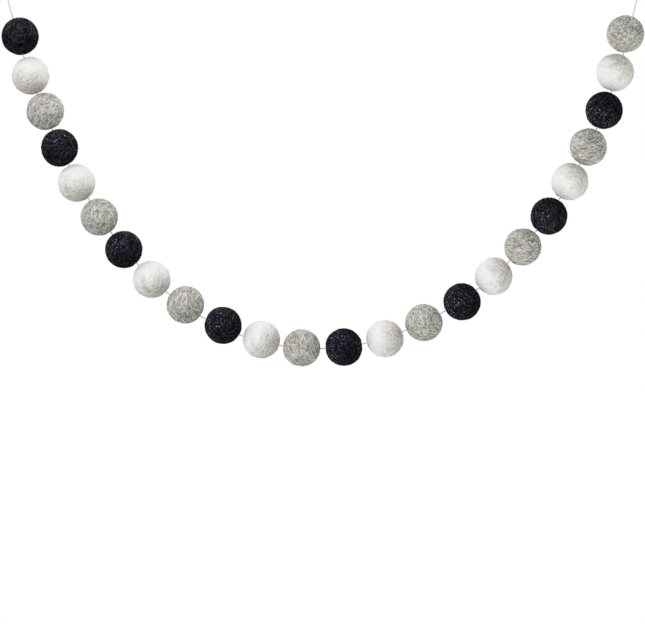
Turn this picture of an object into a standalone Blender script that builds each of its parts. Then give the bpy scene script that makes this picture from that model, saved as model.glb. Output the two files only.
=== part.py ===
"""Felt ball garland: felt balls in three colours on one thin string, with a tied loop at each end.

Metres, +Z up. X runs along the garland from its left end to its right end, and the whole string
hangs in the plane Y = 0. The origin is where the left loop bears on whatever holds it up.
"""

import math
from collections import namedtuple

import bmesh
import bpy
import numpy as np
from mathutils import Matrix, Vector

MM = 0.001

# Driving sizes
BALL_DIAMETER = 25 * MM
STRING_DIAMETER = 0.9 * MM
CLEARANCE = 0.3 * MM

# Each loop: from the place where it bears down to its knot, its width at its widest, and how far
# apart its two legs enter the knot
LOOP_LENGTH = 12 * MM
LOOP_WIDTH = 6 * MM
LEG_SPACING = 1.2 * MM

# The knot is wound of a few turns, and the string's cut end sticks out below it
KNOT_LENGTH = 3.6 * MM
KNOT_TURNS = 3
KNOT_RADIUS = 1.45 * MM
KNOT_GROOVE = 0.25 * MM
TAIL_LENGTH = 7 * MM
TAIL_ANGLE = math.radians(26)
TAIL_CURL = math.radians(14)

# Where the two loops bear, as X and Z: both at the same height
LEFT_HOOK = Vector((0, 0))
RIGHT_HOOK = Vector((439.2 * MM, 0))

# The hanging string's own points, X and Z in millimetres: its way into the first ball, one
# point in each space between two balls, and its way out of the last ball
ROUTE_MM = (
    (12.6, -45.7), (19.8, -71.2), (29.0, -96.3), (39.0, -120.4), (50.3, -144.5),
    (63.7, -167.6), (78.9, -190.0), (96.6, -211.2), (116.9, -230.4), (140.2, -246.6),
    (165.9, -258.8), (192.9, -265.6), (220.8, -267.5), (249.0, -264.0), (275.7, -255.5),
    (301.5, -243.1), (325.1, -227.3), (345.8, -209.1), (363.9, -188.8), (379.9, -166.8),
    (393.4, -143.8), (404.8, -119.8), (414.7, -94.8), (422.8, -69.4), (428.8, -45.7),
)

# The balls in the order in which they are strung, in millimetres: how much string shows before
# the ball, and how far the ball's middle lies above the string that runs through it
Bead = namedtuple("Bead", "space_before off_centre")
BEADS = (
    Bead(31.7, 1.3), Bead(2.5, -0.3), Bead(0.9, 0.4), Bead(1.4, -0.8), Bead(1.2, -1.5),
    Bead(2.4, -0.8), Bead(2.3, -0.7), Bead(2.5, -0.7), Bead(3.3, 0.3), Bead(4.1, 1.2),
    Bead(2.8, 0.9), Bead(2.8, -0.4), Bead(3.4, -0.6), Bead(3.0, -1.1), Bead(3.3, -0.7),
    Bead(4.2, -1.2), Bead(2.3, -0.7), Bead(2.8, -0.5), Bead(2.2, -1.0), Bead(1.9, -0.2),
    Bead(1.5, -0.1), Bead(1.9, -0.1), Bead(1.4, 1.6), Bead(2.0, 2.0),
)

# The felt colours repeat along the string in this order
COLOUR_ORDER = ("felt_black", "felt_white", "felt_grey")

Finish = namedtuple("Finish", "colour roughness")
FINISHES = {
    "felt_black": Finish((0.012, 0.012, 0.020), 0.95),
    "felt_white": Finish((0.790, 0.780, 0.740), 0.95),
    "felt_grey": Finish((0.400, 0.385, 0.345), 0.95),
    "string": Finish((0.640, 0.630, 0.600), 0.80),
}

# How finely the round pieces are cut
BALL_SUBDIVISIONS = 3
BORE_SIDES = 12
STRING_BEVEL = 2
END_POINTS = 8
LOOP_POINTS = 22
TAIL_POINTS = 5
KNOT_SIDES = 12
KNOT_RINGS_PER_TURN = 4
SAMPLES_PER_SPAN = 60


class Route:
    """A smooth curve through the given points, read by the length along it."""

    def __init__(self, corners):
        steps = np.linalg.norm(np.diff(corners, axis=0), axis=1)
        reached = np.concatenate([[0.0], np.cumsum(steps)])
        slopes = np.gradient(corners, reached, axis=0)
        u = np.linspace(0.0, 1.0, SAMPLES_PER_SPAN, endpoint=False)[:, None]
        spans = []
        for i, step in enumerate(steps):
            # A cubic in u, with the corners' places and slopes at its two ends
            spans.append((2 * u**3 - 3 * u**2 + 1) * corners[i]
                         + (u**3 - 2 * u**2 + u) * slopes[i] * step
                         + (3 * u**2 - 2 * u**3) * corners[i + 1]
                         + (u**3 - u**2) * slopes[i + 1] * step)
        self.line = np.concatenate([*spans, corners[-1:]])
        pieces = np.linalg.norm(np.diff(self.line, axis=0), axis=1)
        self.along = np.concatenate([[0.0], np.cumsum(pieces)])
        self.length = self.along[-1]

    def at(self, distance):
        """The point at this distance along the curve, in the plane Y = 0."""
        x = np.interp(distance, self.along, self.line[:, 0])
        z = np.interp(distance, self.along, self.line[:, 1])
        return Vector((x, 0, z))


def pull_direction(hook, route_end):
    """The way in which the string pulls on the loop at this hook, as X and Z."""
    return (Vector(route_end) * MM - hook).normalized()


def string_route():
    """The string's curve, from just below one knot to just below the other."""
    reach = LOOP_LENGTH + KNOT_LENGTH + CLEARANCE
    start = LEFT_HOOK + reach * pull_direction(LEFT_HOOK, ROUTE_MM[0])
    end = RIGHT_HOOK + reach * pull_direction(RIGHT_HOOK, ROUTE_MM[-1])
    middle = [Vector(point) * MM for point in ROUTE_MM]
    return Route(np.array([start, *middle, end]))


def bead_stretches():
    """Where the string enters and leaves each ball, just outside the felt, by length along it."""
    stretches = []
    reached = 0.0
    for bead in BEADS:
        near_side = reached + bead.space_before * MM
        reached = near_side + BALL_DIAMETER
        stretches.append((near_side - CLEARANCE / 2, reached + CLEARANCE / 2))
    return stretches


def clear_scene():
    """Remove every object that the file opened with."""
    for thing in list(bpy.data.objects):
        bpy.data.objects.remove(thing, do_unlink=True)


def make_materials():
    """One plain material for each finish."""
    materials = {}
    for name, finish in FINISHES.items():
        material = bpy.data.materials.new(name)
        material.use_nodes = True
        shader = material.node_tree.nodes["Principled BSDF"]
        shader.inputs["Base Color"].default_value = (*finish.colour, 1.0)
        shader.inputs["Roughness"].default_value = finish.roughness
        shader.inputs["Metallic"].default_value = 0.0
        materials[name] = material
    return materials


def add_object(name, data):
    """Put a new object into the scene."""
    thing = bpy.data.objects.new(name, data)
    bpy.context.collection.objects.link(thing)
    return thing


def add_tool(name, mesh, carrier):
    """A hidden shape that cuts into its carrier, or is joined to it, and moves with it."""
    tool = add_object(name, mesh)
    tool.parent = carrier
    tool.hide_render = True
    tool.display_type = "WIRE"
    return tool


def add_boolean(thing, tool, operation):
    """Cut the tool out of the object, or join the two."""
    modifier = thing.modifiers.new(tool.name, "BOOLEAN")
    modifier.operation = operation
    modifier.solver = "EXACT"
    modifier.object = tool


def tube_curve(name, points):
    """The string along straight runs between the points, with closed ends."""
    curve = bpy.data.curves.new(name, "CURVE")
    curve.dimensions = "3D"
    curve.bevel_depth = STRING_DIAMETER / 2
    curve.bevel_resolution = STRING_BEVEL
    curve.render_resolution_u = 0
    curve.use_fill_caps = True
    spline = curve.splines.new("POLY")
    spline.points.add(len(points) - 1)
    for target, point in zip(spline.points, points):
        target.co = (*point, 1.0)
    return curve


def tube_mesh(name, points):
    """The same tube as a mesh."""
    guide = bpy.data.objects.new(name, tube_curve(name, points))
    mesh = bpy.data.meshes.new_from_object(guide)
    bpy.data.objects.remove(guide)
    return mesh


def ball_mesh(material):
    """A felt ball about its own middle."""
    mesh = bpy.data.meshes.new("ball_" + material.name)
    shape = bmesh.new()
    bmesh.ops.create_icosphere(shape, subdivisions=BALL_SUBDIVISIONS, radius=BALL_DIAMETER / 2)
    shape.to_mesh(mesh)
    shape.free()
    mesh.shade_smooth()
    mesh.materials.append(material)
    return mesh


def bore_mesh():
    """What a needle takes out of a ball: a straight round bar along X, past both of its sides."""
    flat_radius = STRING_DIAMETER / 2 + CLEARANCE
    corner_radius = flat_radius / math.cos(math.pi / BORE_SIDES)
    mesh = bpy.data.meshes.new("bore")
    shape = bmesh.new()
    bmesh.ops.create_cone(
        shape,
        cap_ends=True,
        segments=BORE_SIDES,
        radius1=corner_radius,
        radius2=corner_radius,
        depth=1.4 * BALL_DIAMETER,
        matrix=Matrix.Rotation(math.pi / 2, 4, "Y"),
    )
    shape.to_mesh(mesh)
    shape.free()
    mesh.shade_smooth()
    return mesh


def make_balls(route, materials):
    """Thread every ball: its X axis lies along the string, which may pass off its middle."""
    meshes = {name: ball_mesh(materials[name]) for name in COLOUR_ORDER}
    bore = bore_mesh()
    for i, (bead, (way_in, way_out)) in enumerate(zip(BEADS, bead_stretches())):
        enters = route.at(way_in)
        leaves = route.at(way_out)
        along = (leaves - enters).normalized()
        above = Vector((-along.z, 0, along.x))
        ball = add_object(f"ball_{i + 1:02d}", meshes[COLOUR_ORDER[i % len(COLOUR_ORDER)]])
        ball.location = (enters + leaves) / 2 + above * bead.off_centre * MM
        ball.rotation_euler = (0, -math.atan2(along.z, along.x), 0)
        tool = add_tool(f"bore_{i + 1:02d}", bore, ball)
        tool.location = (0, 0, -bead.off_centre * MM)
        add_boolean(ball, tool, "DIFFERENCE")


def make_string(route, material):
    """The string: straight inside each ball, and bending only where it shows."""
    stretches = bead_stretches()
    first_in = stretches[0][0]
    last_out = stretches[-1][1]
    distances = list(np.linspace(0.0, first_in, END_POINTS, endpoint=False))
    for stretch in stretches:
        distances.extend(stretch)
    distances.extend(np.linspace(route.length, last_out, END_POINTS, endpoint=False)[::-1])
    curve = tube_curve("string", [route.at(distance) for distance in distances])
    curve.materials.append(material)
    add_object("string", curve)


def knot_mesh(material):
    """The knot below a loop: a barrel about Z with a ridge for each turn of the string."""
    mesh = bpy.data.meshes.new("knot")
    shape = bmesh.new()
    rings = []
    ring_count = KNOT_TURNS * KNOT_RINGS_PER_TURN
    for i in range(ring_count + 1):
        swell = abs(math.sin(math.pi * i / KNOT_RINGS_PER_TURN))
        radius = KNOT_RADIUS - KNOT_GROOVE * (1 - swell)
        height = -LOOP_LENGTH - KNOT_LENGTH * i / ring_count
        ring = []
        for k in range(KNOT_SIDES):
            turn = 2 * math.pi * k / KNOT_SIDES
            ring.append(shape.verts.new((radius * math.cos(turn), radius * math.sin(turn), height)))
        rings.append(ring)
    for upper, lower in zip(rings, rings[1:]):
        for k in range(KNOT_SIDES):
            beside = (k + 1) % KNOT_SIDES
            shape.faces.new((upper[k], lower[k], lower[beside], upper[beside]))
    shape.faces.new(rings[0])
    shape.faces.new(reversed(rings[-1]))
    shape.to_mesh(mesh)
    shape.free()
    mesh.shade_smooth()
    mesh.materials.append(material)
    return mesh


def loop_points():
    """A slim drop shape above the knot: round at the top, its two legs nearly level below."""
    # The most that sin(turn) * sin(turn / 2)^2 reaches
    widest = 0.75 * math.sqrt(0.75)
    swing = LOOP_WIDTH / 2 / widest
    height = LOOP_LENGTH + STRING_DIAMETER / 2
    points = []
    for i in range(LOOP_POINTS + 1):
        turn = 2 * math.pi * i / LOOP_POINTS
        across = swing * math.sin(turn) * math.sin(turn / 2)**2
        across += LEG_SPACING / 2 * math.cos(turn / 2)
        points.append(Vector((across, 0, height * (1 - math.cos(turn)) / 2 - LOOP_LENGTH)))
    inside_knot = Vector((0, 0, -KNOT_LENGTH / 3))
    return [points[0] + inside_knot, *points, points[-1] + inside_knot]


def tail_points(side):
    """The cut end, which leaves the knot's lower half to one side and curls a little."""
    root = Vector((side * LEG_SPACING / 2, 0, -LOOP_LENGTH - KNOT_LENGTH / 2))
    points = []
    for i in range(TAIL_POINTS):
        part = i / (TAIL_POINTS - 1)
        lean = TAIL_ANGLE + TAIL_CURL * part
        points.append(root + part * TAIL_LENGTH * Vector((side * math.sin(lean), 0, -math.cos(lean))))
    return points


def make_loop(name, hook, route_end, side, material):
    """A tied loop with its knot below the hook, turned the way in which the string pulls."""
    pull = pull_direction(hook, route_end)
    loop = add_object(name, knot_mesh(material))
    loop.location = (hook.x, 0, hook.y)
    loop.rotation_euler = (0, math.atan2(-pull.x, -pull.y), 0)
    drop = add_tool(name + "_drop", tube_mesh(name + "_drop", loop_points()), loop)
    add_boolean(loop, drop, "UNION")
    tail = add_tool(name + "_tail", tube_mesh(name + "_tail", tail_points(side)), loop)
    add_boolean(loop, tail, "UNION")


def main():
    """Build the garland."""
    clear_scene()
    materials = make_materials()
    route = string_route()
    make_balls(route, materials)
    make_string(route, materials["string"])
    make_loop("left_loop", LEFT_HOOK, ROUTE_MM[0], -1, materials["string"])
    make_loop("right_loop", RIGHT_HOOK, ROUTE_MM[-1], 1, materials["string"])


main()
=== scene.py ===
"""Looks of the felt ball garland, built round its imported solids.

Metres, +Z up. X runs along the garland from its left end to its right end and +Y points to the
back. The string hangs in the plane Y = 0, and the origin is where the left loop bears.
"""

from __future__ import annotations

import logging
import math
from dataclasses import dataclass, field
from enum import Enum

import bpy
import numpy as np
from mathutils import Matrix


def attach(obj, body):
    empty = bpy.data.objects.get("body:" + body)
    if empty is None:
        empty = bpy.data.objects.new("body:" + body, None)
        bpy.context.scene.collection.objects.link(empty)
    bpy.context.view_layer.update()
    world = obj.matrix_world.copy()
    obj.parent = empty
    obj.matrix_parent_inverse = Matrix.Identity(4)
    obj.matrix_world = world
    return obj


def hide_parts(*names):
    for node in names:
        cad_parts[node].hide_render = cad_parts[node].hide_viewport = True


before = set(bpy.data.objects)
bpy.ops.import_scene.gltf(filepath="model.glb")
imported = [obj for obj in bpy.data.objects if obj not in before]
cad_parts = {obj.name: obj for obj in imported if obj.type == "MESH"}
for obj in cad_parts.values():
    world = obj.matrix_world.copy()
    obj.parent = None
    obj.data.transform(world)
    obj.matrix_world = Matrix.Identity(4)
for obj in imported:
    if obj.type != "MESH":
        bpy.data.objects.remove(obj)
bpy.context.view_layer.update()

LOG = logging.getLogger("garland")
MM = 0.001
TURN = 2 * math.pi
ROOT = "root"
PLACE = "felt_place"
# On the felt the tone is each strand's and hair's own lightness, plus painted light on ridges and
# painted shade in creases, dimples and the bore; on the cord it marks the handled stretches
TONE = "felt_tone"
TWIST = "twist_place"
# Each ball's places stand this many radii further along X than the last ball's, so that each
# has its own wool. It is a power of two, which a float holds without loss.
LOT_STEP = 8.0
TO_BACK = np.array([0.0, 1.0, 0.0])
MEAN_NOISE = 0.5
Socket = bpy.types.NodeSocket
Colour = tuple[float, float, float]
Place = tuple[float, float, float]


class FeltColour(Enum):
    """The three wools, in the order in which they repeat along the string."""

    BLACK = "felt_black"
    WHITE = "felt_white"
    GREY = "felt_grey"


def unit(vectors: np.ndarray) -> np.ndarray:
    """Scale vectors, which lie along the last axis, to length one."""
    return vectors / np.linalg.norm(vectors, axis=-1, keepdims=True)


def smooth_step(values: np.ndarray, low: float, high: float) -> np.ndarray:
    """Rise from 0 at low to 1 at high, level at both ends: 3t^2 - 2t^3 of the share t between."""
    share = np.clip((values - low) / (high - low), 0.0, 1.0)
    return share * share * (3.0 - 2.0 * share)


def even_turns(count: int) -> np.ndarray:
    """Angles at even steps round one full turn."""
    return np.arange(count) * TURN / count


def circle(corners: int) -> np.ndarray:
    """The corners of a round outline of radius one, as across and rise."""
    turns = even_turns(corners)
    return np.stack([np.cos(turns), np.sin(turns)], -1)


def lengths_along(line: np.ndarray) -> np.ndarray:
    """How far along a line of points each one lies: the running sum of the steps between."""
    steps = np.linalg.norm(np.diff(line, axis=0), axis=1)
    return np.concatenate([[0.0], np.cumsum(steps)])


def read_line(line: np.ndarray, along: np.ndarray, distances: np.ndarray) -> np.ndarray:
    """Read a line of points, which lie at the lengths along, at other distances along it."""
    return np.stack([np.interp(distances, along, line[:, k]) for k in range(3)], -1)


def even_steps(points: np.ndarray, step: float) -> np.ndarray:
    """Read a line of points again at even steps.

    Args:
        points: The line, as (point, 3).
        step: About how far apart the new points lie.

    Returns:
        The new points, with the same two ends.
    """
    along = lengths_along(points)
    places = np.linspace(0.0, along[-1], max(2, round(along[-1] / step)))
    return read_line(points, along, places)


@dataclass(frozen=True)
class WaveNoise:
    """Smooth random values in space: a sum of plane waves with random ways and phases."""

    frequency: float
    seed: int
    waves: int = 26

    def at(self, points: np.ndarray) -> np.ndarray:
        """Read the noise: sqrt(2 / n) times the sum of sin(k . p + phase) over the n waves.

        Args:
            points: Points along the last axis, in the units that the frequency is per.

        Returns:
            One value for each point, with a mean of about 0 and a spread of about 1.
        """
        random = np.random.default_rng(self.seed)
        ways = unit(random.normal(size=(self.waves, 3)))
        ways = ways * self.frequency * random.uniform(0.7, 1.3, (self.waves, 1))
        phases = random.uniform(0.0, TURN, self.waves)
        return math.sqrt(2.0 / self.waves) * np.sin(points @ ways.T + phases).sum(-1)


@dataclass
class Surface:
    """Points and faces on their way into a mesh, with what the finish reads at each point."""

    points: np.ndarray
    quads: np.ndarray
    triangles: np.ndarray
    places: np.ndarray
    tones: np.ndarray

    def joined(self, others: list[Surface]) -> Surface:
        """Put this surface and others into one.

        Args:
            others: The surfaces that follow this one.

        Returns:
            One surface with all their points and faces.
        """
        parts = [self, *others]
        starts = np.cumsum([0] + [len(part.points) for part in parts[:-1]])
        return Surface(
            np.concatenate([part.points for part in parts]),
            np.concatenate([part.quads + start for part, start in zip(parts, starts)]),
            np.concatenate([part.triangles + start for part, start in zip(parts, starts)]),
            np.concatenate([part.places for part in parts]),
            np.concatenate([part.tones for part in parts]),
        )

    def build(self, name: str, material: bpy.types.Material, place_name: str) -> bpy.types.Object:
        """Make a smooth mesh object that stands at the origin.

        Args:
            name: The piece's name.
            material: Its finish.
            place_name: The attribute under which the finish finds the places.

        Returns:
            The new object, in the scene.
        """
        mesh = bpy.data.meshes.new(name)
        corners = np.concatenate([self.quads.ravel(), self.triangles.ravel()])
        sizes = np.repeat([4, 3], [len(self.quads), len(self.triangles)])
        mesh.vertices.add(len(self.points))
        mesh.vertices.foreach_set("co", self.points.astype(np.float32).ravel())
        mesh.loops.add(len(corners))
        mesh.loops.foreach_set("vertex_index", corners.astype(np.int32))
        mesh.polygons.add(len(sizes))
        mesh.polygons.foreach_set("loop_start", (np.cumsum(sizes) - sizes).astype(np.int32))
        mesh.update(calc_edges=True)
        place = mesh.attributes.new(place_name, "FLOAT_VECTOR", "POINT")
        place.data.foreach_set("vector", self.places.astype(np.float32).ravel())
        tone = mesh.attributes.new(TONE, "FLOAT", "POINT")
        tone.data.foreach_set("value", self.tones.astype(np.float32))
        mesh.shade_smooth()
        mesh.materials.append(material)
        piece = bpy.data.objects.new(name, mesh)
        bpy.context.scene.collection.objects.link(piece)
        return piece

    @property
    def triangle_count(self) -> int:
        """How many triangles the faces come to."""
        return 2 * len(self.quads) + len(self.triangles)


def sweep(paths: np.ndarray, ups: np.ndarray, outline: np.ndarray, places: np.ndarray,
          tones: np.ndarray) -> Surface:
    """Carry an outline along each of several paths and close both ends.

    A point is path + side * across + up * rise, where side is up x tangent, so that the
    outline runs anticlockwise seen from ahead and every face points out.

    Args:
        paths: The paths' points, as (path, step, 3).
        ups: A direction out of each path at each step, as (path, step, 3).
        outline: Across and rise of each corner, as (path, step, corner, 2).
        places: What the finish reads at each corner, as (path, step, corner, 3).
        tones: The tone of each path, as (path,).

    Returns:
        The tubes, as one surface.
    """
    count, steps, corners, _ = outline.shape
    tangents = unit(np.gradient(paths, axis=1))
    sides = unit(np.cross(ups, tangents))
    rises = np.cross(tangents, sides)
    points = (paths[:, :, None] + sides[:, :, None] * outline[..., :1]
              + rises[:, :, None] * outline[..., 1:])
    index = np.arange(count * steps * corners).reshape(count, steps, corners)
    beside = np.roll(index, -1, axis=2)
    quads = np.stack([index[:, :-1], beside[:, :-1], beside[:, 1:], index[:, 1:]], -1)
    first, last = index[:, 0], index[:, -1]
    hub = np.arange(1, corners - 1)
    near = np.stack([first[:, 0 * hub], first[:, hub + 1], first[:, hub]], -1)
    far = np.stack([last[:, 0 * hub], last[:, hub], last[:, hub + 1]], -1)
    return Surface(
        points.reshape(-1, 3),
        quads.reshape(-1, 4),
        np.concatenate([near, far]).reshape(-1, 3),
        places.reshape(-1, 3),
        np.repeat(tones, steps * corners),
    )


@dataclass
class StringRoute:
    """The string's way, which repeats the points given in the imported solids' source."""

    # X and Z: the way into the first ball, one point in each space between two balls, and the
    # way out of the last ball
    corners: tuple[tuple[float, float], ...] = (
        (0.0126, -0.0457), (0.0198, -0.0712), (0.0290, -0.0963), (0.0390, -0.1204),
        (0.0503, -0.1445), (0.0637, -0.1676), (0.0789, -0.1900), (0.0966, -0.2112),
        (0.1169, -0.2304), (0.1402, -0.2466), (0.1659, -0.2588), (0.1929, -0.2656),
        (0.2208, -0.2675), (0.2490, -0.2640), (0.2757, -0.2555), (0.3015, -0.2431),
        (0.3251, -0.2273), (0.3458, -0.2091), (0.3639, -0.1888), (0.3799, -0.1668),
        (0.3934, -0.1438), (0.4048, -0.1198), (0.4147, -0.0948), (0.4228, -0.0694),
        (0.4288, -0.0457),
    )
    hooks: tuple[tuple[float, float], ...] = ((0.0, 0.0), (0.4392, 0.0))
    end_reach: float = 15.9 * MM
    samples: int = 60
    line: np.ndarray = field(init=False)
    along: np.ndarray = field(init=False)

    def __post_init__(self) -> None:
        """Work out the smooth curve: over each span a cubic, with the slopes of both its ends."""
        middle = np.array(self.corners)
        left, right = self.hook_pulls()
        start = np.array(self.hooks[0]) + self.end_reach * left
        end = np.array(self.hooks[1]) + self.end_reach * right
        points = np.concatenate([[start], middle, [end]])
        steps = np.linalg.norm(np.diff(points, axis=0), axis=1)
        slopes = np.gradient(points, lengths_along(points), axis=0)
        u = np.linspace(0.0, 1.0, self.samples, endpoint=False)[None, :, None]
        width = steps[:, None, None]
        flat = ((2 * u**3 - 3 * u**2 + 1) * points[:-1, None]
                + (u**3 - 2 * u**2 + u) * slopes[:-1, None] * width
                + (3 * u**2 - 2 * u**3) * points[1:, None]
                + (u**3 - u**2) * slopes[1:, None] * width).reshape(-1, 2)
        flat = np.concatenate([flat, points[-1:]])
        self.line = np.stack([flat[:, 0], np.zeros(len(flat)), flat[:, 1]], -1)
        self.along = lengths_along(self.line)

    def hook_pulls(self) -> tuple[np.ndarray, np.ndarray]:
        """The ways in which the string pulls on the left and the right hook, as X and Z."""
        middle, hooks = np.array(self.corners), np.array(self.hooks)
        return unit(middle[0] - hooks[0]), unit(middle[-1] - hooks[1])

    @property
    def length(self) -> float:
        """The string's length from knot to knot."""
        return float(self.along[-1])

    def at(self, distances: np.ndarray) -> np.ndarray:
        """Read points of the curve at distances along it."""
        return read_line(self.line, self.along, distances)

    def nearest(self, point: np.ndarray) -> float:
        """How far along the curve its nearest place to a point lies."""
        return float(self.along[np.argmin(np.linalg.norm(self.line - point, axis=1))])


class Finish:
    """A new material and short ways to add the nodes that its pattern is made of."""

    def __init__(self, name: str) -> None:
        """Start an empty material.

        Args:
            name: The material's name.
        """
        self.material = bpy.data.materials.new(name)
        self.material.use_nodes = True
        self.tree = self.material.node_tree
        self.shader = self.tree.nodes["Principled BSDF"]

    def feed(self, socket: Socket, value: object) -> None:
        """Set a socket to a constant, or link another node's output to it.

        Args:
            socket: The input socket.
            value: A number, a colour, a vector or an output socket.
        """
        if isinstance(value, Socket):
            self.tree.links.new(value, socket)
        elif isinstance(value, tuple) and len(value) == 3 and socket.type == "RGBA":
            socket.default_value = (*value, 1.0)
        else:
            socket.default_value = value

    def set_shader(self, values: dict[str, object]) -> None:
        """Feed the shader's own inputs, which are given by name."""
        for name, value in values.items():
            self.feed(self.shader.inputs[name], value)

    def add(self, kind: str, feeds: dict[str | int, object], **settings: object) -> bpy.types.Node:
        """Add a node.

        Args:
            kind: Its type's name, after ShaderNode.
            feeds: What its inputs get, by their names or numbers.
            **settings: The node's own settings.

        Returns:
            The node.
        """
        node = self.tree.nodes.new("ShaderNode" + kind)
        for name, value in settings.items():
            setattr(node, name, value)
        for name, value in feeds.items():
            self.feed(node.inputs[name], value)
        return node

    def attribute(self, name: str, output: str) -> Socket:
        """Read one of the mesh's own attributes, by its output Vector or Fac."""
        return self.add("Attribute", {}, attribute_name=name).outputs[output]

    def object_place(self) -> Socket:
        """Where the point lies in the object's own coordinates."""
        return self.add("TexCoord", {}).outputs["Object"]

    def math(self, operation: str, *values: object, clamp: bool = False) -> Socket:
        """Combine numbers by a Math node's operation, and hold the result to 0 to 1 if told."""
        node = self.add("Math", dict(enumerate(values)), operation=operation, use_clamp=clamp)
        return node.outputs[0]

    def times(self, first: object, second: object) -> Socket:
        """The product of two numbers."""
        return self.math("MULTIPLY", first, second)

    def plus(self, first: object, second: object) -> Socket:
        """The sum of two numbers."""
        return self.math("ADD", first, second)

    def rest(self, value: object) -> Socket:
        """What is left of one when a number is taken off."""
        return self.math("SUBTRACT", 1.0, value)

    def vector(self, operation: str, *values: object) -> Socket:
        """Combine vectors.

        Args:
            operation: The Vector Math node's operation.
            *values: Its inputs, which for a scale are a vector and a number.

        Returns:
            The result, which is a number for a product or a distance.
        """
        # Input 3 is the number by which a vector is scaled
        inputs = (0, 3) if operation == "SCALE" else (0, 1, 2)
        node = self.add("VectorMath", dict(zip(inputs, values)), operation=operation)
        return node.outputs["Value" if operation in ("DOT_PRODUCT", "DISTANCE") else "Vector"]

    def drawn_out(self, place: Socket, axis: Place, scale: float, length: float) -> Socket:
        """Cloudy noise drawn out round an axis, like fibres that were rolled about it.

        The place keeps its share along the axis, and the rest of it shrinks to 1 / length.

        Args:
            place: Where the noise is read.
            axis: The axis, of about length one.
            scale: How many clouds lie side by side on a unit of the place.
            length: How long a cloud is for its width.

        Returns:
            The noise, from 0 to 1 round one half.
        """
        kept = self.times(self.vector("DOT_PRODUCT", place, axis), 1.0 - 1.0 / length)
        shrunk = self.vector("SCALE", place, 1.0 / length)
        drawn = self.vector("ADD", shrunk, self.vector("SCALE", axis, kept))
        return self.noise(drawn, scale, distortion=0.4)

    def rise(self, value: Socket, low: float, high: float) -> Socket:
        """A smooth rise from 0 where the value is low to 1 where it is high."""
        feeds = {"Value": value, "From Min": low, "From Max": high}
        return self.add("MapRange", feeds, interpolation_type="SMOOTHSTEP").outputs["Result"]

    def noise(self, place: Socket, scale: float, detail: float = 2.0, distortion: float = 0.0,
              output: str = "Fac") -> Socket:
        """Cloudy noise round one half, with as many clouds to a unit of the place as the scale."""
        feeds = {"Vector": place, "Scale": scale, "Detail": detail, "Distortion": distortion}
        return self.add("TexNoise", feeds).outputs[output]

    def hairlines(self, place: Socket, scale: float, width: float, stir: float) -> Socket:
        """Thin wandering lines, as of single fibres: where cloudy noise crosses one half.

        Args:
            place: Where they are read.
            scale: How many clouds there are to a unit of the place.
            width: The lines' width, as a share of the noise's range.
            stir: How far the lines curl.

        Returns:
            1 in the middle of a line and 0 between lines.
        """
        cloud = self.noise(place, scale, 1.0, stir)
        off = self.math("ABSOLUTE", self.math("SUBTRACT", cloud, MEAN_NOISE))
        return self.math("SUBTRACT", 1.0, self.math("DIVIDE", off, width), clamp=True)

    def mix(self, share: object, first: object, second: object) -> Socket:
        """Blend two colours, of which the second one shows by the share, from 0 to 1."""
        return self.add("Mix", {0: share, 6: first, 7: second}, data_type="RGBA").outputs[2]

    def bump(self, height: Socket, strength: float, distance: float) -> None:
        """Roughen the surface in the shader, by a relief that is the distance deep at 1."""
        feeds = {"Strength": strength, "Distance": distance, "Height": height}
        self.feed(self.shader.inputs["Normal"], self.add("Bump", feeds).outputs["Normal"])


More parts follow.
